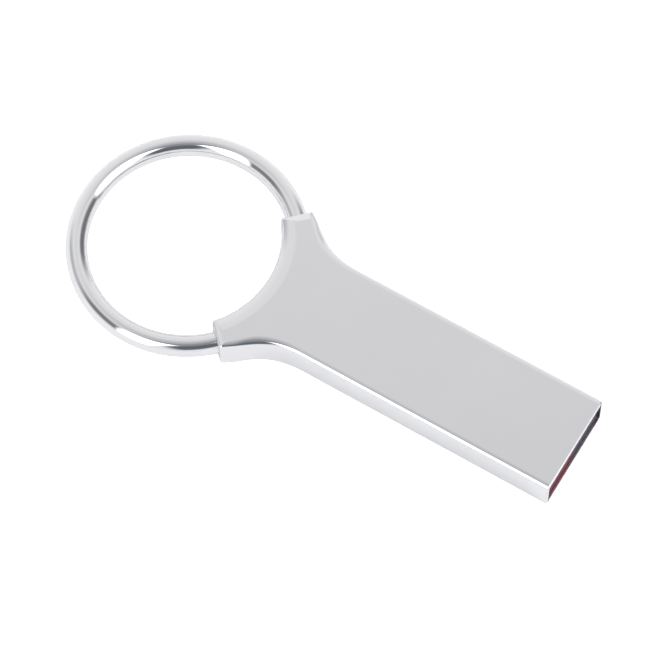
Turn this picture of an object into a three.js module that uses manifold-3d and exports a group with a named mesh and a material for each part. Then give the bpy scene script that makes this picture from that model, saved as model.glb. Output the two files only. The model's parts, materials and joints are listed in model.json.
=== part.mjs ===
// Key-ring USB flash drive: a one-piece cast metal bar that is its own USB-A plug sleeve, flaring into
// two arms that hold a round wire ring, with a chip-on-board memory module on a tray inside the sleeve.
// Millimetres, +Z up. The origin is the centre of the underside of the whole object's box,
// +X points out of the plug end and the drive lies flat on Z = 0.

import * as THREE from 'three';
import { mergeVertices } from 'three/addons/utils/BufferGeometryUtils.js';
import Module from 'manifold-3d';

const wasm = await Module();
wasm.setup();

// ---- driving dimensions -------------------------------------------------------------------------
const PLUG_WIDTH = 12;            // USB-A plug shell, across
const THICKNESS = 4.5;            // USB-A plug shell, height, and the whole casting's
const WALL = 0.3;                 // sleeve wall round the module
const EDGE_RADIUS = 0.5;          // rounding of the long edges
const RING_RADIUS = 12.35;        // centreline of the wire ring
const WIRE = 2.45;                // wire diameter
const RING_TO_TIP = 48.9;         // ring centre to the mouth of the plug
const ARM_ANGLE = 44;             // degrees either side of +X where the arms stop
const SADDLE_RADIUS = 11.1;       // concave edge between the arms
const SADDLE_SHIFT = 0.95;        // its centre, behind the ring centre
const ARM_OUTER_RADIUS = 14.05;   // outer corner of an arm tip, about the ring centre
const FLARE_ANGLE = 35.5;         // degrees between the arms' outer edges and the straight sides
const SHOULDER_RADIUS = 8.5;      // flare from the straight sides out to the arms
const SOCKET_ANGLE = 17;          // how far round the ring each end is let into its arm, in degrees
const SOCKET_GAP = 0.05;          // clearance of the wire in its socket, all round

const STACK_GAP = 0.02;           // bond line between flat faces that lie on each other
const SIDE_GAP = 0.05;            // side clearance of the inner pieces
const SETBACK = 0.35;             // front of the module behind the mouth
const CARRIER_LENGTH = 25.9;
const CARRIER_FLOOR = 0.34;
const CARRIER_RAIL = 0.6;         // width of the side rails that the module's edges rest on
const CARRIER_ADHESIVE = 0.1;
const MODULE_LENGTH = 24.8;
const MODULE_ADHESIVE = 0.06;
const SUBSTRATE = 0.28;
const CONTACT_THICKNESS = 0.05;
const CONTACT_WIDTH = 1;
const CONTACT_BACK = 8.61;        // rear end of all four contacts behind the module's front
const POWER_LENGTH = 7.41;        // the outer pair reaches further forward, so it mates first
const SIGNAL_LENGTH = 6.41;
const POWER_OFFSET = 3.5;
const SIGNAL_OFFSET = 1;
const DIE_FILM = 0.05;
const NAND = { x: 12, y: 8, z: 0.15, step: 0.8 };
const CONTROLLER = { x: 2.8, y: 2.8, z: 0.18 };
const POCKET_GAP = 0.04;          // clearance of the chips in the epoxy round them

// ---- levels and stations worked out from them ---------------------------------------------------
const RING_OUTER = RING_RADIUS + WIRE / 2;
const TIP_X = (RING_TO_TIP + RING_OUTER) / 2;
const RING_X = TIP_X - RING_TO_TIP;
const MID_Z = THICKNESS / 2;
const CAVITY_WIDTH = PLUG_WIDTH - 2 * WALL;
const CAVITY_HEIGHT = THICKNESS - 2 * WALL;
const MODULE_WIDTH = CAVITY_WIDTH - 2 * SIDE_GAP;
const MODULE_X = TIP_X - SETBACK;
const CARRIER_Z = WALL + STACK_GAP + CARRIER_ADHESIVE + STACK_GAP;
const CONTACT_Z = MID_Z - CONTACT_THICKNESS;
const SUBSTRATE_Z = CONTACT_Z - STACK_GAP - SUBSTRATE;
const BOARD_Z = SUBSTRATE_Z - STACK_GAP;       // where the pieces under the substrate end
const CARRIER_FLOOR_Z = CARRIER_Z + CARRIER_FLOOR;
const MOULD_Z = CARRIER_FLOOR_Z + 2 * STACK_GAP + MODULE_ADHESIVE;
const MOULD_WIDTH = MODULE_WIDTH - 2 * CARRIER_RAIL - 2 * SIDE_GAP;
const MOULD_FRONT = 0.65;
const MOULD_LENGTH = MODULE_LENGTH - 2 * MOULD_FRONT;

const MATERIALS = {
  chrome: new THREE.MeshStandardMaterial({ color: 0xcfcfd1, roughness: 0.12, metalness: 1 }),
  carrier: new THREE.MeshStandardMaterial({ color: 0x18181b, roughness: 0.6, metalness: 0 }),
  adhesive: new THREE.MeshStandardMaterial({ color: 0xd9cfae, roughness: 0.8, metalness: 0 }),
  solderMask: new THREE.MeshStandardMaterial({ color: 0x5c1a26, roughness: 0.35, metalness: 0 }),
  gold: new THREE.MeshStandardMaterial({ color: 0xd9a441, roughness: 0.25, metalness: 1 }),
  epoxy: new THREE.MeshStandardMaterial({ color: 0x17181a, roughness: 0.55, metalness: 0 }),
  silicon: new THREE.MeshStandardMaterial({ color: 0x5d6470, roughness: 0.2, metalness: 0.6 }),
  ceramic: new THREE.MeshStandardMaterial({ color: 0x9c8266, roughness: 0.5, metalness: 0 }),
  resistor: new THREE.MeshStandardMaterial({ color: 0x1d1f24, roughness: 0.4, metalness: 0 }),
  can: new THREE.MeshStandardMaterial({ color: 0xc9c9c4, roughness: 0.3, metalness: 1 }),
};

const drive = new THREE.Group();

// ---- helpers ------------------------------------------------------------------------------------
function addPiece(name, geometry, material) {
  const mesh = new THREE.Mesh(geometry, material);
  mesh.name = name;
  drive.add(mesh);
}

function toSolid(geometry) {
  const bare = geometry.clone();
  bare.deleteAttribute('normal');
  bare.deleteAttribute('uv');
  const merged = mergeVertices(bare, 1e-5);
  return new wasm.Manifold(new wasm.Mesh({
    numProp: 3,
    vertProperties: new Float32Array(merged.attributes.position.array),
    triVerts: new Uint32Array(merged.index.array),
  }));
}

function toGeometry(solid) {
  const mesh = solid.getMesh();
  const geometry = new THREE.BufferGeometry();
  geometry.setAttribute('position', new THREE.BufferAttribute(mesh.vertProperties, 3));
  geometry.setIndex(new THREE.BufferAttribute(mesh.triVerts, 1));
  geometry.computeVertexNormals();
  return geometry;
}

function arc(x, y, radius, fromDegrees, toDegrees, steps) {
  const points = [];
  for (let i = 0; i <= steps; i += 1) {
    const angle = THREE.MathUtils.degToRad(fromDegrees + ((toDegrees - fromDegrees) * i) / steps);
    points.push(new THREE.Vector2(x + radius * Math.cos(angle), y + radius * Math.sin(angle)));
  }
  return points;
}

function roundedRectangle(width, height, radius, steps = 3) {
  const x = width / 2 - radius;
  const y = height / 2 - radius;
  return new THREE.Shape([
    ...arc(x, y, radius, 0, 90, steps),
    ...arc(-x, y, radius, 90, 180, steps),
    ...arc(-x, -y, radius, 180, 270, steps),
    ...arc(x, -y, radius, 270, 360, steps),
  ]);
}

// A flat slab with rounded corners: its front at x = front, its underside at z = bottom.
function slab({ front, length, width, bottom, height, y = 0, corner = 0.1 }) {
  const shape = roundedRectangle(length, width, corner);
  const geometry = new THREE.ExtrudeGeometry(shape, { depth: height, bevelEnabled: false });
  geometry.translate(front - length / 2, y, bottom);
  return geometry;
}

class RingArc extends THREE.Curve {
  constructor(fromDegrees, toDegrees) {
    super();
    this.from = THREE.MathUtils.degToRad(fromDegrees);
    this.sweep = THREE.MathUtils.degToRad(toDegrees - fromDegrees);
  }

  getPoint(t, target = new THREE.Vector3()) {
    const angle = this.from + this.sweep * t;
    return target.set(RING_X + RING_RADIUS * Math.cos(angle), RING_RADIUS * Math.sin(angle), MID_Z);
  }
}

function bentWire(radius, fromDegrees, toDegrees, steps) {
  const section = new THREE.Shape(arc(0, 0, radius, 0, 360, 20).slice(0, -1));
  const extrudePath = new RingArc(fromDegrees, toDegrees);
  return new THREE.ExtrudeGeometry(section, { steps, bevelEnabled: false, extrudePath });
}

// ---- casting ------------------------------------------------------------------------------------
// Half of the plan outline on the +Y side, from the plug end to the arm tip. The arm's straight outer
// edge runs from the tip into the shoulder arc, which ends on the straight side.
function upperOutline(endX) {
  const halfWidth = PLUG_WIDTH / 2;
  const flare = THREE.MathUtils.degToRad(FLARE_ANGLE);
  const tip = arc(RING_X, 0, ARM_OUTER_RADIUS, ARM_ANGLE, ARM_ANGLE, 1)[0];
  const rise = tip.y - halfWidth - SHOULDER_RADIUS;
  const shoulderX = tip.x + (SHOULDER_RADIUS + rise * Math.cos(flare)) / Math.sin(flare);
  const shoulderY = halfWidth + SHOULDER_RADIUS;
  return [
    new THREE.Vector2(endX, halfWidth),
    ...arc(shoulderX, shoulderY, SHOULDER_RADIUS, 270, 270 - FLARE_ANGLE, 10),
    tip,
  ];
}

function bodyOutline(endX) {
  const upper = upperOutline(endX);
  const lower = upper.map((point) => new THREE.Vector2(point.x, -point.y)).reverse();
  // The saddle's own angle where it meets the radial line that ends an arm.
  const tipAngle = THREE.MathUtils.degToRad(ARM_ANGLE);
  const reach = ARM_ANGLE - THREE.MathUtils.radToDeg(Math.asin(
    (SADDLE_SHIFT * Math.sin(tipAngle)) / SADDLE_RADIUS,
  ));
  const concave = arc(RING_X - SADDLE_SHIFT, 0, SADDLE_RADIUS, reach, -reach, 28);
  return new THREE.Shape([...upper, ...concave, ...lower]);
}

function castBlank() {
  const overrun = 2;
  const geometry = new THREE.ExtrudeGeometry(bodyOutline(TIP_X + overrun), {
    depth: THICKNESS - 2 * EDGE_RADIUS,
    bevelThickness: EDGE_RADIUS,
    bevelSize: EDGE_RADIUS,
    bevelOffset: -EDGE_RADIUS,
    bevelSegments: 4,
  });
  geometry.translate(0, 0, EDGE_RADIUS);
  const cutter = new THREE.BoxGeometry(2 * overrun, 2 * PLUG_WIDTH, 2 * THICKNESS);
  cutter.translate(TIP_X + overrun, 0, MID_Z);
  return toSolid(geometry).subtract(toSolid(cutter));
}

function moduleCavity() {
  const overrun = 1;
  const depth = SETBACK + CARRIER_LENGTH + 5 * SIDE_GAP;
  const section = roundedRectangle(CAVITY_HEIGHT, CAVITY_WIDTH, EDGE_RADIUS - WALL);
  const geometry = new THREE.ExtrudeGeometry(section, { depth: depth + overrun, bevelEnabled: false });
  geometry.rotateY(Math.PI / 2);
  geometry.translate(TIP_X - depth, 0, MID_Z);
  return toSolid(geometry);
}

function wireSocket(side) {
  const inner = side * (ARM_ANGLE - SOCKET_ANGLE);
  const outer = side * (ARM_ANGLE + 6);
  return toSolid(bentWire(WIRE / 2 + SOCKET_GAP, inner, outer, 6));
}

function housing() {
  const solid = castBlank().subtract(moduleCavity()).subtract(wireSocket(1)).subtract(wireSocket(-1));
  return toGeometry(solid);
}

function keyRing() {
  const clearance = THREE.MathUtils.radToDeg(SOCKET_GAP / RING_RADIUS);
  const end = ARM_ANGLE - SOCKET_ANGLE + clearance;
  return bentWire(WIRE / 2, end, 360 - end, 72);
}

// ---- memory module and the tray it sits in ------------------------------------------------------
// The tray has a floor, two side rails that carry the module's edges and a taller stop behind it.
function chipCarrier() {
  const tray = slab({
    front: MODULE_X, length: CARRIER_LENGTH, width: MODULE_WIDTH,
    bottom: CARRIER_Z, height: CONTACT_Z - CARRIER_Z,
  });
  const well = slab({
    front: MODULE_X - MOULD_FRONT + SIDE_GAP, length: MOULD_LENGTH + 2 * SIDE_GAP,
    width: MOULD_WIDTH + 2 * SIDE_GAP, bottom: CARRIER_FLOOR_Z, height: THICKNESS,
  });
  const seat = new THREE.BoxGeometry(MODULE_LENGTH + SIDE_GAP + 1, 2 * MODULE_WIDTH, THICKNESS);
  seat.translate(MODULE_X + 1 - seat.parameters.width / 2, 0, BOARD_Z + THICKNESS / 2);
  return toGeometry(toSolid(tray).subtract(toSolid(well)).subtract(toSolid(seat)));
}

function carrierAdhesive() {
  return slab({
    front: MODULE_X - 2, length: CARRIER_LENGTH - 4, width: MODULE_WIDTH - 1.4,
    bottom: WALL + STACK_GAP, height: CARRIER_ADHESIVE, corner: 0.6,
  });
}

function moduleAdhesive() {
  return slab({
    front: MODULE_X - MOULD_FRONT - 1, length: MOULD_LENGTH - 2, width: MOULD_WIDTH - 1,
    bottom: CARRIER_FLOOR_Z + STACK_GAP, height: MODULE_ADHESIVE, corner: 0.6,
  });
}

function moduleSubstrate() {
  return slab({
    front: MODULE_X, length: MODULE_LENGTH, width: MODULE_WIDTH,
    bottom: SUBSTRATE_Z, height: SUBSTRATE, corner: 0.25,
  });
}

function contact(y, length) {
  return slab({
    front: MODULE_X - CONTACT_BACK + length, length, width: CONTACT_WIDTH,
    bottom: CONTACT_Z, height: CONTACT_THICKNESS, y, corner: 0.2,
  });
}

// Everything soldered or bonded to the underside of the substrate: where its front edge is behind the
// module's front, where its middle is across it, its plan size, and the depth it takes below the board.
const NAND_DEPTH = 2 * (DIE_FILM + NAND.z) + 3 * STACK_GAP;
const CHIP = { length: 1, width: 0.5 };
const nandStack = { at: 9.6, y: 0, length: NAND.x + NAND.step, width: NAND.y, depth: NAND_DEPTH };
const controller = {
  at: 3.7, y: 2.3, length: CONTROLLER.x, width: CONTROLLER.y, depth: DIE_FILM + STACK_GAP + CONTROLLER.z,
};
const crystal = { at: 4.1, y: -2.6, length: 2, width: 1.6, depth: 0.5 };
const capacitors = [-3.6, -1.2, 1.2, 3.6].map((y) => ({ at: 1.5, y, ...CHIP, depth: 0.5 }));
const resistors = [-2.4, 2.4].map((y) => ({ at: 7.6, y, ...CHIP, depth: 0.35 }));

function pocket({ at, y, length, width, depth }) {
  return slab({
    front: MODULE_X - at + POCKET_GAP, length: length + 2 * POCKET_GAP, width: width + 2 * POCKET_GAP,
    bottom: BOARD_Z - depth - POCKET_GAP, height: THICKNESS, y, corner: 0.03,
  });
}

function epoxyMould() {
  const block = slab({
    front: MODULE_X - MOULD_FRONT, length: MOULD_LENGTH, width: MOULD_WIDTH,
    bottom: MOULD_Z, height: BOARD_Z - MOULD_Z, corner: 0.3,
  });
  const pockets = [nandStack, controller, crystal, ...capacitors, ...resistors].map(pocket);
  const solid = pockets.reduce((rest, cut) => rest.subtract(toSolid(cut)), toSolid(block));
  return toGeometry(solid);
}

function die({ at, y }, size, bottom, height) {
  return slab({
    front: MODULE_X - at, length: size.x, width: size.y, bottom, height, y, corner: 0.03,
  });
}

// A surface-mount chip part: two end caps that stand slightly proud of the body between them.
function chipPart({ at, y, length, width, depth }) {
  const cap = length / 4;
  const waist = width / 2 - 0.03;
  const x = length / 2;
  const quarter = [[x, width / 2], [x - cap, width / 2], [x - cap, waist]];
  const half = [...quarter, ...quarter.map(([px, py]) => [-px, py]).reverse()];
  const outline = [...half, ...half.map(([px, py]) => [px, -py]).reverse()];
  const shape = new THREE.Shape(outline.map(([px, py]) => new THREE.Vector2(px, py)));
  const geometry = new THREE.ExtrudeGeometry(shape, { depth, bevelEnabled: false });
  geometry.translate(MODULE_X - at - x, y, BOARD_Z - depth);
  return geometry;
}

function crystalCan() {
  const lidInset = 0.15;
  const plate = 0.15;
  const base = slab({
    front: MODULE_X - crystal.at, length: crystal.length, width: crystal.width,
    bottom: BOARD_Z - plate, height: plate, y: crystal.y,
  });
  const lid = slab({
    front: MODULE_X - crystal.at - lidInset, length: crystal.length - 2 * lidInset,
    width: crystal.width - 2 * lidInset, bottom: BOARD_Z - crystal.depth,
    height: crystal.depth - plate / 2, y: crystal.y,
  });
  return toGeometry(toSolid(base).add(toSolid(lid)));
}

// ---- assembly -----------------------------------------------------------------------------------
addPiece('housing', housing(), MATERIALS.chrome);
addPiece('key_ring', keyRing(), MATERIALS.chrome);

addPiece('carrier_adhesive', carrierAdhesive(), MATERIALS.adhesive);
addPiece('chip_carrier', chipCarrier(), MATERIALS.carrier);
addPiece('module_adhesive', moduleAdhesive(), MATERIALS.adhesive);
addPiece('module_substrate', moduleSubstrate(), MATERIALS.solderMask);
addPiece('epoxy_mould', epoxyMould(), MATERIALS.epoxy);

addPiece('contact_vbus', contact(POWER_OFFSET, POWER_LENGTH), MATERIALS.gold);
addPiece('contact_data_minus', contact(SIGNAL_OFFSET, SIGNAL_LENGTH), MATERIALS.gold);
addPiece('contact_data_plus', contact(-SIGNAL_OFFSET, SIGNAL_LENGTH), MATERIALS.gold);
addPiece('contact_ground', contact(-POWER_OFFSET, POWER_LENGTH), MATERIALS.gold);

// The dies hang below the board, each under its own attach film, the second memory die set back.
const filmTop = BOARD_Z - DIE_FILM;
const firstNandZ = filmTop - STACK_GAP - NAND.z;
const secondFilmZ = firstNandZ - STACK_GAP - DIE_FILM;
const secondNandZ = secondFilmZ - STACK_GAP - NAND.z;
const secondNand = { at: nandStack.at + NAND.step, y: nandStack.y };
addPiece('controller_attach_film', die(controller, CONTROLLER, filmTop, DIE_FILM), MATERIALS.adhesive);
addPiece(
  'controller_die',
  die(controller, CONTROLLER, filmTop - STACK_GAP - CONTROLLER.z, CONTROLLER.z),
  MATERIALS.silicon,
);
addPiece('nand_attach_film_1', die(nandStack, NAND, filmTop, DIE_FILM), MATERIALS.adhesive);
addPiece('nand_die_1', die(nandStack, NAND, firstNandZ, NAND.z), MATERIALS.silicon);
addPiece('nand_attach_film_2', die(secondNand, NAND, secondFilmZ, DIE_FILM), MATERIALS.adhesive);
addPiece('nand_die_2', die(secondNand, NAND, secondNandZ, NAND.z), MATERIALS.silicon);

addPiece('crystal', crystalCan(), MATERIALS.can);
capacitors.forEach((part, i) => addPiece(`capacitor_${i + 1}`, chipPart(part), MATERIALS.ceramic));
resistors.forEach((part, i) => addPiece(`resistor_${i + 1}`, chipPart(part), MATERIALS.resistor));

export default drive;
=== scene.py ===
"""Looks of the key-ring USB flash drive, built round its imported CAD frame."""

import copy
import json
import math

import bpy
from mathutils import Matrix, Vector


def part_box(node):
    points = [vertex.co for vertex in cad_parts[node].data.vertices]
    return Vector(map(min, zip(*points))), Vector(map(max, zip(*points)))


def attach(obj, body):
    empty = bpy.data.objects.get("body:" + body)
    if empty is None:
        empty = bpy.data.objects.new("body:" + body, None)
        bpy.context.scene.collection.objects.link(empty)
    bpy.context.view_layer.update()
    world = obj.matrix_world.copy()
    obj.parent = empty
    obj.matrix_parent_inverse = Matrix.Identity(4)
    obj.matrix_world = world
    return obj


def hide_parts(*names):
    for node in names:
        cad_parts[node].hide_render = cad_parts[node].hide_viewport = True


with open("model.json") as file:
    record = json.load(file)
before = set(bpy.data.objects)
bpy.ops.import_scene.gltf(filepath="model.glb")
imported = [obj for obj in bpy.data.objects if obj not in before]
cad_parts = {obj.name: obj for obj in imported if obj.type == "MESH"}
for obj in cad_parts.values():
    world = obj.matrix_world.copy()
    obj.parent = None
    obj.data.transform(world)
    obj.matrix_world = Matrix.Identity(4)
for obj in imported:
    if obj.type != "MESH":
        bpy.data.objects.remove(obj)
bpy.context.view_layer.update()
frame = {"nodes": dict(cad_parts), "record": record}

MM = 0.001

# ---- sizes read from the frame, in millimetres ---------------------------------------------------
housing_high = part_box("housing")[1] / MM
ring_low, ring_high = (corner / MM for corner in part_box("key_ring"))
carrier_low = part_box("chip_carrier")[0] / MM
mounts = {mount["name"]: mount for mount in frame["record"]["mounts"]}

MID_Z = housing_high.z / 2
TIP_X = housing_high.x
HALF_WIDTH = abs(mounts["plug_side_face"]["pos_m"][1]) / MM
WIRE_RADIUS = (ring_high.z - ring_low.z) / 2
RING_OUTER = ring_high.y
RING_RADIUS = RING_OUTER - WIRE_RADIUS
RING_X = ring_low.x + RING_OUTER
CAVITY_BACK = carrier_low.x - 0.25  # the cavity's floor, a little behind the tray

# ---- the view, in degrees and metres --------------------------------------------------------------
CAMERA_AZIMUTH = 31.4               # from the -Y side round towards the plug
CAMERA_ELEVATION = 65.2
CAMERA_ROLL = -0.6
CAMERA_DISTANCE = 0.4
CAMERA_LENS = 196.9                 # in millimetres, on a sensor 36 wide
# where the camera looks: a place on the bar, told from the ring's centre
VIEW_CENTRE = Vector((RING_X + 19.57, -1.19, MID_Z)) * MM

# ---- the casting's own shape ----------------------------------------------------------------------
ARM_ANGLE = math.radians(44)        # where the arms stop, either side of +X about the ring centre
FLARE_ANGLE = math.radians(35.5)    # between the arms' straight outer edges and the bar's sides
ARM_OUTER = housing_high.y / math.sin(ARM_ANGLE)
SADDLE_RADIUS = 11.1                # the concave edge between the arms
SADDLE_SHIFT = 0.95                 # its centre, behind the ring centre
SHOULDER_RADIUS = 8.5               # the concave turn from the bar into an arm
WALL = 0.3
TIP_CORNER = 0.36                   # rounding in plan of an arm tip's corners
NEAR_SADDLE_CORNER = 0.6            # a larger one where the near arm meets the saddle
RIM_EDGE = 0.14                     # rounding of the mouth's outer edge
MOUTH_EDGE = 0.04                   # and of its inner edge
SOCKET_CLEARANCE = 0.03             # round the wire
SOCKET_EDGE = 0.04                  # the broken edge of a socket's mouth
SOCKET_DEPTH = math.radians(17)     # as an angle round the ring
RING_END_GAP = 0.004                # radians, about 0.05 mm, from the ring's end to its socket's floor
RING_CHAMFER = 0.15                 # of the wire's two hidden ends

# ---- how finely things are divided ----------------------------------------------------------------
ROUND_STEPS = 7                     # facets in an edge's tight rounding
CROWN_STEPS = 6                     # and in the gentle crown behind it
SHOULDER_STEPS = 28
SADDLE_STEPS = 44                   # over half the saddle
CORNER_STEPS = 10                   # round a corner in plan, across a tip, along an outer edge
RIM_STEPS = 4                       # round the mouth's edges and a socket's
SOCKET_STEPS = 12                   # down a socket
SOCKET_FACETS = 40
RING_STEPS = 300
RING_FACETS = 48


class Edge:
    """How a long edge rolls from the wall to the flat face: a tight rounding up to a tilt from level,
    a straight slope at that tilt, then a gentle crown."""

    def __init__(self, radius, tilt, slope, crown):
        self.radius = radius
        self.tilt = math.radians(tilt)
        self.slope = slope
        self.crown = crown

    def numbers(self):
        """What the edge is made from."""
        return self.radius, math.degrees(self.tilt), self.slope, self.crown

    def blended(self, other, share):
        """An edge part of the way from this one to the other."""
        mixed = [a + (b - a) * share for a, b in zip(self.numbers(), other.numbers())]
        return Edge(*mixed)

    def profile(self):
        """Rows of inset from the wall, drop below the flat face and elevation of the normal."""
        rows = []
        for step in range(ROUND_STEPS + 1):
            elevation = step / ROUND_STEPS * (math.pi / 2 - self.tilt)
            inset = self.radius * (1 - math.cos(elevation))
            rows.append((inset, self.radius * math.sin(elevation), elevation))
        inset, height, _ = rows[-1]
        inset += self.slope * math.cos(self.tilt)
        height += self.slope * math.sin(self.tilt)
        for step in range(CROWN_STEPS + 1):
            tilt = self.tilt * (1 - step / CROWN_STEPS)
            across = inset + self.crown * (math.sin(self.tilt) - math.sin(tilt))
            rise = height + self.crown * (math.cos(tilt) - math.cos(self.tilt))
            rows.append((across, rise, math.pi / 2 - tilt))
        top = rows[-1][1]
        return [(across, top - rise, elevation) for across, rise, elevation in rows]

    def width(self):
        """From the wall to where the flat face begins."""
        return self.profile()[-1][0]


# each one's radius, tilt in degrees, slope and crown
SIDE_EDGE = Edge(0.38, 18, 0.02, 1.15)
SHOULDER_EDGE = Edge(0.75, 26, 0.02, 1.4)       # where the outer edge is softest
SADDLE_EDGE = Edge(0.7, 25, 0.02, 3.5)
FAR_TIP_EDGE = Edge(0.3, 28, 0.95, 0.3)         # a flat bevel
NEAR_TIP_EDGE = Edge(0.32, 16, 0.02, 2.6)       # only softened


# ---- mesh building --------------------------------------------------------------------------------
class MeshMaker:
    """Collects points and faces with an exact normal at each face corner, in millimetres."""

    def __init__(self):
        self.points = []
        self.faces = []
        self.normals = []
        self.known = {}

    def point(self, x, y, z):
        """The number of a point, the same for two points in one place."""
        key = (round(x, 5), round(y, 5), round(z, 5))
        if key not in self.known:
            self.known[key] = len(self.points)
            self.points.append(Vector((x, y, z)))
        return self.known[key]

    def sheet(self, faces):
        """Faces that belong together, each as corners and normals. All of them are turned over if on
        the whole they look against their normals. Corners that fall together count once."""
        agreement = 0
        for corners, normals in faces:
            area = Vector()
            for i, corner in enumerate(corners):
                area += self.points[corners[i - 1]].cross(self.points[corner])
            agreement += area.dot(sum(normals, Vector()))
        for corners, normals in faces:
            kept = [i for i, corner in enumerate(corners) if corner != corners[i - 1]]
            if agreement < 0:
                kept.reverse()
            if len({corners[i] for i in kept}) > 2:
                self.faces.append([corners[i] for i in kept])
                self.normals.extend(normals[i] for i in kept)

    def cap(self, corners, normal):
        """A flat face of many corners, which may be concave."""
        self.sheet([(corners, [normal] * len(corners))])

    def skin(self, loops):
        """Quads from each closed loop to the next. A loop is a list of points and one of normals."""
        for (first, first_normals), (second, second_normals) in zip(loops, loops[1:]):
            faces = []
            for i in range(len(first)):
                corners = [first[i - 1], first[i], second[i], second[i - 1]]
                normals = [first_normals[i - 1], first_normals[i], second_normals[i], second_normals[i - 1]]
                faces.append((corners, normals))
            self.sheet(faces)

    def build(self, name):
        """The finished piece, in metres."""
        mesh = bpy.data.meshes.new(name)
        mesh.from_pydata([p * MM for p in self.points], [], self.faces)
        mesh.polygons.foreach_set("use_smooth", [True] * len(mesh.polygons))
        mesh.normals_split_custom_set([n.normalized() for n in self.normals])
        piece = bpy.data.objects.new(name, mesh)
        bpy.context.scene.collection.objects.link(piece)
        return piece


def polar(radius, angle):
    """A place in plan, from the middle."""
    return Vector((radius * math.cos(angle), radius * math.sin(angle)))


def blend_in(value):
    """Smooth step from 0 to 1."""
    value = min(1, max(0, value))
    return value * value * (3 - 2 * value)


# ---- the casting ----------------------------------------------------------------------------------
class Column:
    """One place along the casting's plan outline: where the wall is, which way it faces, its edge,
    and where the flat face begins."""

    def __init__(self, place, outward, edge, inner=None, on_tip=False):
        self.place = place
        self.outward = outward
        self.profile = edge.profile()
        self.inner = place - outward * self.profile[-1][0] if inner is None else inner
        self.on_tip = on_tip

    def row(self, step, side):
        """Point and normal at a row of the edge, on the upper (side 1) or lower (side -1) face."""
        inset, drop, elevation = self.profile[step]
        tight = self.profile[ROUND_STEPS][0]
        start = self.place - self.outward * min(inset, tight)
        beyond = max(0, inset - tight) / (self.profile[-1][0] - tight)
        spot = start.lerp(self.inner, beyond)
        point = Vector((spot.x, spot.y, MID_Z + side * (MID_Z - drop)))
        flat = self.outward * math.cos(elevation)
        return point, Vector((flat.x, flat.y, side * math.sin(elevation)))

    def mirrored(self):
        """The same column on the -Y side."""
        flip = Vector((1, -1))
        twin = copy.copy(self)
        twin.place = self.place * flip
        twin.outward = self.outward * flip
        twin.inner = self.inner * flip
        return twin


def edge_rows():
    """The rows round a wall, from the lower flat face to the upper one, as step and side."""
    count = len(SIDE_EDGE.profile())
    return [(step, -1) for step in reversed(range(count))] + [(step, 1) for step in range(count)]


def meet(first, first_offset, second, second_offset):
    """The point that lies at given offsets along two directions."""
    across = first.x * second.y - first.y * second.x
    return Vector((
        (first_offset * second.y - second_offset * first.y) / across,
        (second_offset * first.x - first_offset * second.x) / across,
    ))


class Arm:
    """The places that fix the plan of the +Y arm, from the shoulder to the saddle."""

    def __init__(self):
        self.saddle = Vector((RING_X - SADDLE_SHIFT, 0))
        self.radial = polar(1, ARM_ANGLE)
        self.along = Vector((-self.radial.y, self.radial.x))
        self.flare = Vector((math.sin(FLARE_ANGLE), math.cos(FLARE_ANGLE)))
        self.tip = Vector((RING_X, 0)) + self.radial * ARM_OUTER
        rise = self.tip.y - HALF_WIDTH - SHOULDER_RADIUS
        run = (SHOULDER_RADIUS + rise * self.flare.y) / self.flare.x
        self.shoulder = Vector((self.tip.x + run, HALF_WIDTH + SHOULDER_RADIUS))

    def outer_corner(self, tip_inset, side_inset):
        """The place at given distances inside the tip face and the arm's outer edge."""
        return self.tip + meet(self.along, -tip_inset, self.flare, -side_inset)

    def inner_corner(self, tip_inset, saddle_inset):
        """The place at given distances inside the tip face and the saddle."""
        aside = tip_inset + SADDLE_SHIFT * self.radial.y
        reach = math.sqrt((SADDLE_RADIUS + saddle_inset) ** 2 - aside**2)
        return self.saddle + self.radial * reach - self.along * aside


def shoulder_columns(arm):
    """From the bar round the shoulder; the edge widens on the way to the tip."""
    columns = [Column(Vector((arm.shoulder.x + 1, HALF_WIDTH)), Vector((0, 1)), SIDE_EDGE)]
    for i in range(SHOULDER_STEPS + 1):
        share = i / SHOULDER_STEPS
        outward = polar(1, math.pi / 2 - FLARE_ANGLE * share)
        place = arm.shoulder - outward * SHOULDER_RADIUS
        columns.append(Column(place, outward, SIDE_EDGE.blended(SHOULDER_EDGE, blend_in(share))))
    return columns


def outer_edge_columns(start, end):
    """Along the arm's straight outer edge, between two columns. Its rounding narrows again from a
    fifth to seven tenths of the way."""
    columns = []
    for i in range(1, CORNER_STEPS):
        share = i / CORNER_STEPS
        place = start.place.lerp(end.place, share)
        edge = SHOULDER_EDGE.blended(SIDE_EDGE, blend_in(share * 2 - 0.4))
        columns.append(Column(place, start.outward, edge, start.inner.lerp(end.inner, share)))
    return columns


def tip_columns(start, end, edge):
    """Across the flat end of an arm, between its two corners."""
    columns = []
    for i in range(1, CORNER_STEPS):
        share = i / CORNER_STEPS
        place = start.place.lerp(end.place, share)
        inner = start.inner.lerp(end.inner, share)
        columns.append(Column(place, start.outward, edge, inner, on_tip=True))
    return columns


def saddle_columns(arm, start):
    """Half of the concave edge, from an arm tip's corner to the middle."""
    def angle_of(place):
        offset = place - arm.saddle
        return math.atan2(offset.y, offset.x)

    wall = angle_of(start.place)
    inner = angle_of(start.inner)
    reach = SADDLE_RADIUS + SADDLE_EDGE.width()
    columns = []
    for i in range(1, SADDLE_STEPS + 1):
        rest = 1 - i / SADDLE_STEPS
        outward = -polar(1, wall * rest)
        place = arm.saddle - outward * SADDLE_RADIUS
        columns.append(Column(place, outward, SADDLE_EDGE, arm.saddle + polar(reach, inner * rest)))
    return columns


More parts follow.
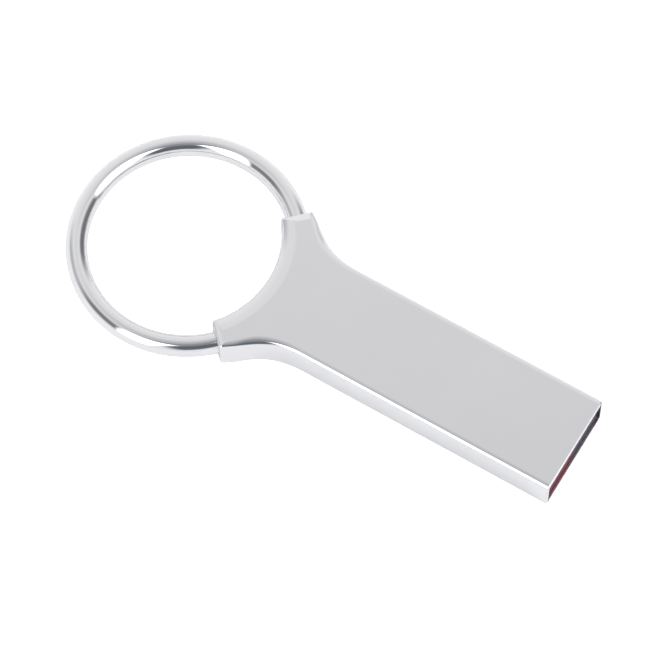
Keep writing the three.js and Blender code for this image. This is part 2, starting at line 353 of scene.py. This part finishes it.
def corner_columns(centre, radius, turn, edges, inner):
    """Columns round a corner in plan, where one edge turns into another and their flats meet."""
    columns = []
    for i in range(CORNER_STEPS + 1):
        share = i / CORNER_STEPS
        outward = polar(1, turn[0] + (turn[1] - turn[0]) * share)
        edge = edges[0].blended(edges[1], share)
        columns.append(Column(centre + outward * radius, outward, edge, inner))
    return columns


def half_outline(tip_edge, saddle_corner):
    """Columns on the +Y side, from the straight bar round the arm to the middle of the saddle."""
    arm = Arm()
    facing_out = math.pi / 2 - FLARE_ANGLE
    facing_tip = ARM_ANGLE + math.pi / 2
    outer_flat = arm.outer_corner(tip_edge.width(), SIDE_EDGE.width())
    inner_flat = arm.inner_corner(tip_edge.width(), SADDLE_EDGE.width())
    outer_centre = arm.outer_corner(TIP_CORNER, TIP_CORNER)
    inner_centre = arm.inner_corner(saddle_corner, saddle_corner)
    toward = arm.saddle - inner_centre
    facing_saddle = math.atan2(toward.y, toward.x) + 2 * math.pi
    shoulder = shoulder_columns(arm)
    outer = corner_columns(
        outer_centre, TIP_CORNER, (facing_out, facing_tip), (SIDE_EDGE, tip_edge), outer_flat)
    inner = corner_columns(
        inner_centre, saddle_corner, (facing_tip, facing_saddle), (tip_edge, SADDLE_EDGE), inner_flat)
    columns = shoulder + outer_edge_columns(shoulder[-1], outer[0]) + outer
    columns += tip_columns(outer[-1], inner[0], tip_edge) + inner
    return columns + saddle_columns(arm, inner[-1])


def bar_section(offset):
    """The bar's rounded section, moved in by an offset: points and normals in Y and Z, in the order
    of the rows up the +Y side and down the -Y side."""
    profile = SIDE_EDGE.profile()
    rows = edge_rows()
    section = []
    for sign in (1, -1):
        for step, side in rows[::sign]:
            inset, drop, elevation = profile[step]
            normal = Vector((0, sign * math.cos(elevation), side * math.sin(elevation)))
            place = Vector((0, sign * (HALF_WIDTH - inset), MID_Z + side * (MID_Z - drop)))
            section.append((place - normal * offset, normal))
    return section


def bar_loop(maker, x, inset, forward, outward):
    """The bar's section at x; its normals are forward plus outward times the section's own."""
    places = []
    normals = []
    for place, normal in bar_section(inset):
        places.append(maker.point(x, place.y, place.z))
        normals.append(forward + normal * outward)
    return places, normals


def sweep_bar(maker, joint):
    """The straight bar from the shoulder to the mouth, its rim, and the cavity back to its floor."""
    forward = Vector((1, 0, 0))
    outside = [(joint, [normal for _, normal in bar_section(0)])]
    for step in range(RIM_STEPS + 1):
        turn = step / RIM_STEPS * math.pi / 2
        x = TIP_X - RIM_EDGE * (1 - math.sin(turn))
        inset = RIM_EDGE * (1 - math.cos(turn))
        outside.append(bar_loop(maker, x, inset, math.sin(turn) * forward, math.cos(turn)))
    inside = [(outside[-1][0], [forward] * len(joint))]
    for step in range(RIM_STEPS + 1):
        turn = step / RIM_STEPS * math.pi / 2
        x = TIP_X - MOUTH_EDGE * (1 - math.cos(turn))
        inset = WALL - MOUTH_EDGE * (1 - math.sin(turn))
        inside.append(bar_loop(maker, x, inset, math.cos(turn) * forward, -math.sin(turn)))
    inside.append(bar_loop(maker, CAVITY_BACK, WALL, Vector(), -1))
    maker.skin(outside)
    maker.skin(inside)
    maker.cap(inside[-1][0], forward)


def zip_hole(maker, outline, hole, centre, axes, normal):
    """Fills the flat face between an outline and a round hole, both seen from the hole's centre."""
    def turned(index):
        offset = maker.points[index] - centre
        return math.atan2(offset.dot(axes[1]), offset.dot(axes[0]))

    outer = sorted(set(outline), key=turned)
    inner = sorted(set(hole), key=turned)
    faces = []
    o = i = 0
    while o < len(outer) or i < len(inner):
        next_outer = turned(outer[o]) if o < len(outer) else math.inf
        next_inner = turned(inner[i]) if i < len(inner) else math.inf
        if next_outer < next_inner:
            corners = [outer[o - 1], outer[o], inner[i - 1]]
            o += 1
        else:
            corners = [outer[o - 1], inner[i], inner[i - 1]]
            i += 1
        faces.append((corners, [normal] * 3))
    maker.sheet(faces)


def across_wire(angle):
    """The middle of the ring's wire at an angle, and the directions away from the ring and along it."""
    radial = Vector((math.cos(angle), math.sin(angle), 0))
    along = Vector((-radial.y, radial.x, 0))
    return Vector((RING_X, 0, MID_Z)) + radial * RING_RADIUS, radial, along


def wire_loop(maker, radius, angle, facets, lift=0.0):
    """A circle of points round the ring's wire, moved along it by lift, with normals that face out."""
    centre, radial, along = across_wire(angle)
    centre += along * lift
    places = []
    normals = []
    for i in range(facets):
        turn = 2 * math.pi * i / facets
        normal = radial * math.cos(turn) + Vector((0, 0, math.sin(turn)))
        places.append(maker.point(*(centre + normal * radius)))
        normals.append(normal)
    return places, normals


def bore_socket(maker, side, outline):
    """The round blind socket in an arm tip, with a broken edge, and the flat tip face round it."""
    angle = side * ARM_ANGLE
    radius = WIRE_RADIUS + SOCKET_CLEARANCE
    centre, radial, along = across_wire(angle)
    outward = along * side
    mouth, _ = wire_loop(maker, radius + SOCKET_EDGE, angle, SOCKET_FACETS)
    zip_hole(maker, outline, mouth, centre, (radial, Vector((0, 0, 1))), outward)
    loops = [(mouth, [outward] * SOCKET_FACETS)]
    for step in range(1, RIM_STEPS + 1):
        turn = step / RIM_STEPS * math.pi / 2
        size = radius + SOCKET_EDGE * (1 - math.sin(turn))
        lift = -side * SOCKET_EDGE * (1 - math.cos(turn))
        places, normals = wire_loop(maker, size, angle, SOCKET_FACETS, lift)
        loops.append((places, [outward * math.cos(turn) - n * math.sin(turn) for n in normals]))
    first = SOCKET_EDGE / RING_RADIUS
    for step in range(1, SOCKET_STEPS + 1):
        depth = first + (SOCKET_DEPTH - first) * step / SOCKET_STEPS
        places, normals = wire_loop(maker, radius, angle - side * depth, SOCKET_FACETS)
        loops.append((places, [-n for n in normals]))
    maker.skin(loops)
    floor_normal = across_wire(angle - side * SOCKET_DEPTH)[2] * side
    maker.cap(loops[-1][0], floor_normal)


def tip_outline(columns, grid, side, wall_row):
    """The points round one arm's flat tip face, where its wall meets the rounded edges."""
    found = []
    for i, column in enumerate(columns):
        near_tip = any(columns[j].on_tip for j in (i - 1, i, (i + 1) % len(columns)))
        if near_tip and column.place.y * side > 0:
            found += grid[i][0][wall_row:wall_row + 2]
    return found


def make_housing():
    """The casting: its rounded wall and flat faces, both sockets and the bar."""
    maker = MeshMaker()
    far_half = half_outline(FAR_TIP_EDGE, TIP_CORNER)
    near_half = half_outline(NEAR_TIP_EDGE, NEAR_SADDLE_CORNER)
    columns = far_half + [column.mirrored() for column in reversed(near_half[:-1])]
    rows = edge_rows()
    wall_row = len(rows) // 2 - 1
    grid = []
    for column in columns:
        points = [column.row(step, side) for step, side in rows]
        grid.append(([maker.point(*point) for point, _ in points], [normal for _, normal in points]))
    faces = []
    for left, right, here, there in zip(grid, grid[1:], columns, columns[1:]):
        flat_tip = here.on_tip or there.on_tip
        for r in range(len(rows) - 1):
            if flat_tip and r == wall_row:
                continue
            corners = [left[0][r], right[0][r], right[0][r + 1], left[0][r + 1]]
            normals = [left[1][r], right[1][r], right[1][r + 1], left[1][r + 1]]
            faces.append((corners, normals))
    maker.sheet(faces)
    for side in (1, -1):
        bore_socket(maker, side, tip_outline(columns, grid, side, wall_row))
    maker.cap([points[-1] for points, _ in grid], Vector((0, 0, 1)))
    maker.cap([points[0] for points, _ in grid], Vector((0, 0, -1)))
    sweep_bar(maker, grid[0][0] + grid[-1][0][::-1])
    return maker.build("housing_shell")


# ---- the wire ring --------------------------------------------------------------------------------
def make_ring():
    """The C of round wire, a little chamfered at its two ends, which are hidden in the sockets."""
    maker = MeshMaker()
    end = ARM_ANGLE - SOCKET_DEPTH + RING_END_GAP
    small = WIRE_RADIUS - RING_CHAMFER
    rows = [(end, small, 0.0), (end, WIRE_RADIUS, RING_CHAMFER)]
    for step in range(1, RING_STEPS):
        rows.append((end + (2 * math.pi - 2 * end) * step / RING_STEPS, WIRE_RADIUS, 0.0))
    rows += [(-end, WIRE_RADIUS, -RING_CHAMFER), (-end, small, 0.0)]
    loops = [wire_loop(maker, radius, angle, RING_FACETS, lift) for angle, radius, lift in rows]
    for i, angle, sign in ((0, end, -1), (-1, -end, 1)):
        places, normals = loops[i]
        facing = across_wire(angle)[2] * sign
        maker.cap(places, facing)
        loops[i] = (places, [n + facing for n in normals])
    maker.skin(loops)
    return maker.build("wire_ring")


# ---- materials ------------------------------------------------------------------------------------
class Recipe:
    """A node material under construction."""

    def __init__(self, name):
        self.material = bpy.data.materials.new(name)
        self.material.use_nodes = True
        self.nodes = self.material.node_tree.nodes
        self.links = self.material.node_tree.links
        self.shader = self.nodes["Principled BSDF"]
        self.place = self.nodes.new("ShaderNodeTexCoord").outputs["Object"]

    def set(self, **values):
        """Sets the shader's own sockets, named as in base_color."""
        for name, value in values.items():
            self.shader.inputs[name.replace("_", " ").title()].default_value = value

    def link(self, source, target):
        """Connects two sockets."""
        self.links.new(source, target)

    def noise(self, scale, detail, stretch=(1, 1, 1)):
        """A pattern from 0 to 1, fixed to the piece; a small stretch draws it out along that axis."""
        mapping = self.nodes.new("ShaderNodeMapping")
        mapping.inputs["Scale"].default_value = stretch
        self.link(self.place, mapping.inputs["Vector"])
        noise = self.nodes.new("ShaderNodeTexNoise")
        noise.inputs["Scale"].default_value = scale
        noise.inputs["Detail"].default_value = detail
        self.link(mapping.outputs["Vector"], noise.inputs["Vector"])
        return noise.outputs["Fac"]

    def near_to_far(self, spread):
        """0 on the -Y side, 1 on the +Y side, changing over the spread round the middle."""
        split = self.nodes.new("ShaderNodeSeparateXYZ")
        self.link(self.place, split.inputs[0])
        return self.remap(split.outputs["Y"], 0.0, 1.0, -spread / 2, spread / 2)

    def ramp(self, factor, stops):
        """Colours at positions along a factor."""
        ramp = self.nodes.new("ShaderNodeValToRGB")
        elements = ramp.color_ramp.elements
        while len(elements) < len(stops):
            elements.new(0.5)
        for element, (position, color) in zip(elements, stops):
            element.position = position
            element.color = (*color, 1)
        self.link(factor, ramp.inputs["Fac"])
        return ramp.outputs["Color"]

    def remap(self, factor, low, high, start=0.0, stop=1.0):
        """A factor from start to stop, turned into a value from low to high."""
        remap = self.nodes.new("ShaderNodeMapRange")
        remap.inputs["From Min"].default_value = start
        remap.inputs["From Max"].default_value = stop
        remap.inputs["To Min"].default_value = low
        remap.inputs["To Max"].default_value = high
        self.link(factor, remap.inputs["Value"])
        return remap.outputs["Result"]

    def overexposed(self, amount):
        """Extra light in what the camera sees directly, which lights nothing else."""
        path = self.nodes.new("ShaderNodeLightPath")
        return self.remap(path.outputs["Is Camera Ray"], 0.0, amount)

    def bump(self, factor, strength, distance):
        """A relief that follows the factor, its full depth given in metres."""
        bump = self.nodes.new("ShaderNodeBump")
        bump.inputs["Strength"].default_value = strength
        bump.inputs["Distance"].default_value = distance
        self.link(factor, bump.inputs["Height"])
        self.link(bump.outputs["Normal"], self.shader.inputs["Normal"])

    def surface(self, factor, tones, roughness, relief):
        """Lets one pattern drive the colour, the roughness and a fine relief."""
        self.link(self.ramp(factor, tones), self.shader.inputs["Base Color"])
        self.link(self.remap(factor, *roughness), self.shader.inputs["Roughness"])
        self.bump(factor, *relief)
        return self.material


def chrome(name, tone, haze):
    """Bright plating: a slow drift of tone, faint polishing haze and an almost invisible ripple."""
    recipe = Recipe(name)
    recipe.set(metallic=1.0)
    drift = recipe.noise(90, 2)
    light = tuple(min(1, channel * 1.012) for channel in tone)
    dark = tuple(channel * 0.988 for channel in tone)
    recipe.link(recipe.ramp(drift, [(0.3, dark), (0.7, light)]), recipe.shader.inputs["Base Color"])
    polish = recipe.noise(1400, 4, stretch=(0.15, 1, 1))
    recipe.link(recipe.remap(polish, haze * 0.6, haze * 1.5), recipe.shader.inputs["Roughness"])
    recipe.bump(recipe.noise(260, 2), 0.05, 0.00002)
    return recipe.material


def moulded_plastic(name, tone, roughness):
    """Dark compound with a sandy grain."""
    recipe = Recipe(name)
    light = tuple(min(1, channel * 1.35 + 0.004) for channel in tone)
    grain = recipe.noise(5200, 4)
    return recipe.surface(
        grain, [(0.35, tone), (0.7, light)], (roughness - 0.08, roughness + 0.1), (0.35, 0.00002))


def solder_mask():
    """Dark red mask over woven glass."""
    recipe = Recipe("solder_mask_red")
    recipe.set(coat_weight=0.3, coat_roughness=0.08)
    weave = recipe.noise(2600, 2, stretch=(1, 0.3, 1))
    tones = [(0.3, (0.115, 0.012, 0.02)), (0.7, (0.16, 0.02, 0.03))]
    return recipe.surface(weave, tones, (0.24, 0.36), (0.2, 0.00002))


def tray_plastic():
    """The tray's plastic, dark red at the -Y side; at the +Y side painted shade turns it slate, for the
    shadow over the far half of the mouth. A fine grain.
    """
    recipe = Recipe("tray_plastic")
    recipe.shader.inputs["Specular IOR Level"].default_value = 0.02
    # painted shade: the slate at the +Y side stands for the shadow in the far half of the mouth; the dark
    # red at the -Y side is the tray's own colour
    red_then_painted_shade = recipe.near_to_far(0.0016)
    tone = recipe.ramp(red_then_painted_shade, [(0.0, (0.15, 0.026, 0.04)), (1.0, (0.06, 0.048, 0.068))])
    recipe.link(tone, recipe.shader.inputs["Base Color"])
    grain = recipe.noise(5200, 4)
    recipe.link(recipe.remap(grain, 0.35, 0.55), recipe.shader.inputs["Roughness"])
    recipe.bump(grain, 0.35, 0.00002)
    return recipe.material


def gold_plating():
    """Hard gold, wiped along the plug by use."""
    recipe = Recipe("hard_gold")
    recipe.set(metallic=1.0)
    wipe = recipe.noise(1800, 3, stretch=(0.1, 1, 1))
    tones = [(0.3, (0.83, 0.56, 0.2)), (0.7, (0.93, 0.68, 0.3))]
    return recipe.surface(wipe, tones, (0.14, 0.32), (0.15, 0.00001))


def adhesive_film():
    """Cloudy tan film."""
    recipe = Recipe("adhesive_film")
    recipe.set(subsurface_weight=0.2, coat_weight=0.2)
    cloud = recipe.noise(900, 5)
    tones = [(0.3, (0.56, 0.49, 0.34)), (0.7, (0.72, 0.65, 0.5))]
    return recipe.surface(cloud, tones, (0.6, 0.85), (0.3, 0.00002))


def silicon():
    """Polished dies with a little haze."""
    recipe = Recipe("polished_silicon")
    recipe.set(metallic=0.7)
    haze = recipe.noise(1500, 2)
    tones = [(0.3, (0.2, 0.22, 0.27)), (0.7, (0.27, 0.28, 0.33))]
    return recipe.surface(haze, tones, (0.08, 0.2), (0.1, 0.00001))


def chip_part(name, body, roughness):
    """The fine-grained fired body of a surface-mount part."""
    recipe = Recipe(name)
    light = tuple(min(1, channel * 1.2) for channel in body)
    grain = recipe.noise(4200, 4)
    return recipe.surface(
        grain, [(0.3, body), (0.7, light)], (roughness - 0.1, roughness + 0.1), (0.3, 0.00001))


def welded_can():
    """The brushed metal can of the crystal."""
    recipe = Recipe("welded_can")
    recipe.set(metallic=1.0)
    brush = recipe.noise(2400, 4, stretch=(0.1, 1, 1))
    tones = [(0.3, (0.62, 0.61, 0.58)), (0.7, (0.76, 0.75, 0.72))]
    return recipe.surface(brush, tones, (0.2, 0.4), (0.2, 0.00001))


# ---- stage ----------------------------------------------------------------------------------------
def direction_to(azimuth, elevation):
    """From the object, by degrees round from the -Y side towards the plug and degrees up."""
    around = math.radians(azimuth)
    up = math.radians(elevation)
    return Vector((math.sin(around) * math.cos(up), -math.cos(around) * math.cos(up), math.sin(up)))


def make_camera():
    """The camera of the one fixed view, turned a little about its own axis."""
    roll = math.radians(CAMERA_ROLL)
    back = direction_to(CAMERA_AZIMUTH, CAMERA_ELEVATION)
    right = (-back).cross(Vector((0, 0, 1))).normalized()
    up = back.cross(right)
    turned_right = right * math.cos(roll) + up * math.sin(roll)
    turned_up = up * math.cos(roll) - right * math.sin(roll)
    data = bpy.data.cameras.new("camera")
    data.sensor_width = 36
    data.lens = CAMERA_LENS
    data.clip_start = 0.01
    camera = bpy.data.objects.new("camera", data)
    turn = Matrix((turned_right, turned_up, back)).transposed().to_4x4()
    camera.matrix_world = Matrix.Translation(VIEW_CENTRE + back * CAMERA_DISTANCE) @ turn
    bpy.context.scene.collection.objects.link(camera)
    bpy.context.scene.camera = camera


def make_floor():
    """A pale floor just under the object, which goes white where the camera sees it."""
    size = 3.0
    below = -0.00002
    mesh = bpy.data.meshes.new("floor")
    corners = [(-size, -size, below), (size, -size, below), (size, size, below), (-size, size, below)]
    mesh.from_pydata(corners, [], [(0, 1, 2, 3)])
    floor = bpy.data.objects.new("floor", mesh)
    bpy.context.scene.collection.objects.link(floor)
    recipe = Recipe("pale_floor")
    recipe.set(roughness=0.9, emission_color=(1, 1, 1, 1))
    paper = recipe.ramp(recipe.noise(40, 3), [(0.3, (0.9, 0.9, 0.9)), (0.7, (0.92, 0.92, 0.92))])
    recipe.link(paper, recipe.shader.inputs["Base Color"])
    recipe.link(recipe.overexposed(0.45), recipe.shader.inputs["Emission Strength"])
    floor.data.materials.append(recipe.material)


class Studio:
    """The light tent round the object: a pale dome with flat panels hung in front of it."""

    BLUE = 1.012    # how much bluer than white the dome is

    def __init__(self):
        world = bpy.data.worlds.new("light_tent")
        bpy.context.scene.world = world
        world.use_nodes = True
        self.nodes = world.node_tree.nodes
        self.links = world.node_tree.links
        self.direction = self.nodes.new("ShaderNodeTexCoord").outputs["Generated"]
        self.color = None

    def dome(self, stops):
        """Brightness by elevation in degrees, the same all the way round."""
        split = self.nodes.new("ShaderNodeSeparateXYZ")
        self.links.new(self.direction, split.inputs[0])
        ramp = self.nodes.new("ShaderNodeValToRGB")
        elements = ramp.color_ramp.elements
        while len(elements) < len(stops):
            elements.new(0.5)
        for element, (elevation, brightness) in zip(elements, stops):
            element.position = math.sin(math.radians(elevation))
            element.color = (brightness, brightness, brightness * self.BLUE, 1)
        self.links.new(split.outputs["Z"], ramp.inputs["Fac"])
        self.color = ramp.outputs["Color"]

    def calculate(self, operation, first, second):
        """The result of a maths node on two numbers or sockets."""
        node = self.nodes.new("ShaderNodeMath")
        node.operation = operation
        for socket, value in zip(node.inputs, (first, second)):
            if isinstance(value, (int, float)):
                socket.default_value = value
            else:
                self.links.new(value, socket)
        return node.outputs[0]

    def along(self, axis):
        """How far the looked-at direction goes along an axis."""
        dot = self.nodes.new("ShaderNodeVectorMath")
        dot.operation = "DOT_PRODUCT"
        self.links.new(self.direction, dot.inputs[0])
        dot.inputs[1].default_value = axis
        return dot.outputs["Value"]

    def fade(self, value, full, gone):
        """1 where the value is at the full end, 0 at the gone end, smooth between them."""
        edge = self.nodes.new("ShaderNodeMapRange")
        edge.interpolation_type = "SMOOTHSTEP"
        edge.inputs["From Min"].default_value = gone
        edge.inputs["From Max"].default_value = full
        self.links.new(value, edge.inputs["Value"])
        return edge.outputs["Result"]

    def panel(self, azimuth, elevation, half_width, half_height, blur, color):
        """A flat panel square to its direction from the object, sized in distances to it."""
        facing = direction_to(azimuth, elevation)
        across = direction_to(azimuth + 90, 0)
        upward = facing.cross(across) * -1
        depth = self.along(facing)
        near = self.calculate("MAXIMUM", depth, 0.001)
        mask = self.fade(depth, 0.02, 0.0)
        for axis, half in ((across, half_width), (upward, half_height)):
            offset = self.calculate("ABSOLUTE", self.calculate("DIVIDE", self.along(axis), near), 0)
            mask = self.calculate("MULTIPLY", mask, self.fade(offset, half - blur / 2, half + blur / 2))
        self.lay_over(mask, color)

    def lay_over(self, mask, color):
        """Puts a plain colour over the tent where the mask is 1."""
        mix = self.nodes.new("ShaderNodeMix")
        mix.data_type = "RGBA"
        under, over = mix.inputs[6:8]   # the node's two colour sockets
        self.links.new(mask, mix.inputs["Factor"])
        self.links.new(self.color, under)
        over.default_value = (*color, 1)
        self.color = mix.outputs[2]     # and its colour output

    def finish(self, seen):
        """What the camera sees directly is plain; everything else is lit by the tent."""
        path = self.nodes.new("ShaderNodeLightPath")
        self.lay_over(path.outputs["Is Camera Ray"], seen)
        self.links.new(self.color, self.nodes["Background"].inputs["Color"])


def make_light():
    """Two soft boxes either side of the camera, the dark studio between and beside them. A panel's
    numbers are its azimuth from the camera's, elevation, half width and height, blur and colour."""
    tent = [(0, 1.30), (15, 1.23), (30, 1.2), (45, 1.13), (60, 1.115), (75, 0.85), (89, 0.7)]
    grey_left_back = (-106, 31, 0.3, 0.26, 0.36, (0.72, 0.72, 0.74))
    dark_left = (-67, 37, 0.37, 0.34, 0.36, (0.33, 0.33, 0.34))
    dark_right_back = (107, 24, 0.5, 0.43, 0.48, (0.27, 0.27, 0.285))
    slate_above = (9, 62, 0.36, 0.42, 0.3, (0.4, 0.415, 0.44))
    slate_below = (9, 43, 0.36, 0.36, 0.3, (0.18, 0.205, 0.24))
    soft_box_left = (-41, 40.5, 0.2, 0.5, 0.15, (4.6, 4.6, 4.65))
    soft_box_right = (65, 47, 0.3, 0.435, 0.2, (4.6, 4.6, 4.65))
    darks = (grey_left_back, dark_left, dark_right_back, slate_above, slate_below)
    studio = Studio()
    studio.dome(tent)
    for azimuth, *rest in darks + (soft_box_left, soft_box_right):
        studio.panel(CAMERA_AZIMUTH + azimuth, *rest)
    studio.finish((1.0, 1.0, 1.0))


# ---- assembly -------------------------------------------------------------------------------------
def dress(piece, material, node):
    """Gives a new piece its material and lets it stand for a CAD node."""
    piece.data.materials.append(material)
    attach(piece, "root")
    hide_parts(node)


def dress_node(name, material):
    """A CAD node keeps its shape and gets a material and edges broken by 0.01 mm."""
    node = frame["nodes"][name]
    node.data.materials.clear()
    node.data.materials.append(material)
    bevel = node.modifiers.new("edges", "BEVEL")
    bevel.width = 0.00001
    bevel.segments = 2
    bevel.limit_method = "ANGLE"
    bevel.angle_limit = math.radians(40)
    bevel.harden_normals = True


def node_materials():
    """The material of every CAD node that keeps its own shape."""
    film = adhesive_film()
    gold = gold_plating()
    die = silicon()
    ceramic = chip_part("fired_ceramic", (0.4, 0.29, 0.19), 0.45)
    glaze = chip_part("resistor_glaze", (0.02, 0.02, 0.024), 0.3)
    materials = {
        "chip_carrier": tray_plastic(),
        "module_substrate": solder_mask(),
        "epoxy_mould": moulded_plastic("mould_epoxy", (0.012, 0.012, 0.014), 0.5),
        "crystal": welded_can(),
        "controller_die": die,
        "carrier_adhesive": film,
        "module_adhesive": film,
        "controller_attach_film": film,
    }
    materials.update({f"nand_die_{i}": die for i in (1, 2)})
    materials.update({f"nand_attach_film_{i}": film for i in (1, 2)})
    materials.update({f"capacitor_{i}": ceramic for i in (1, 2, 3, 4)})
    materials.update({f"resistor_{i}": glaze for i in (1, 2)})
    materials.update({f"contact_{line}": gold for line in ("vbus", "data_minus", "data_plus", "ground")})
    return materials


make_camera()
make_floor()
make_light()
bpy.context.scene.view_settings.view_transform = "Standard"

dress(make_housing(), chrome("plated_casting", (0.62, 0.62, 0.63), 0.03), "housing")
dress(make_ring(), chrome("plated_wire", (0.62, 0.62, 0.63), 0.03), "key_ring")
for node_name, node_material in node_materials().items():
    dress_node(node_name, node_material)
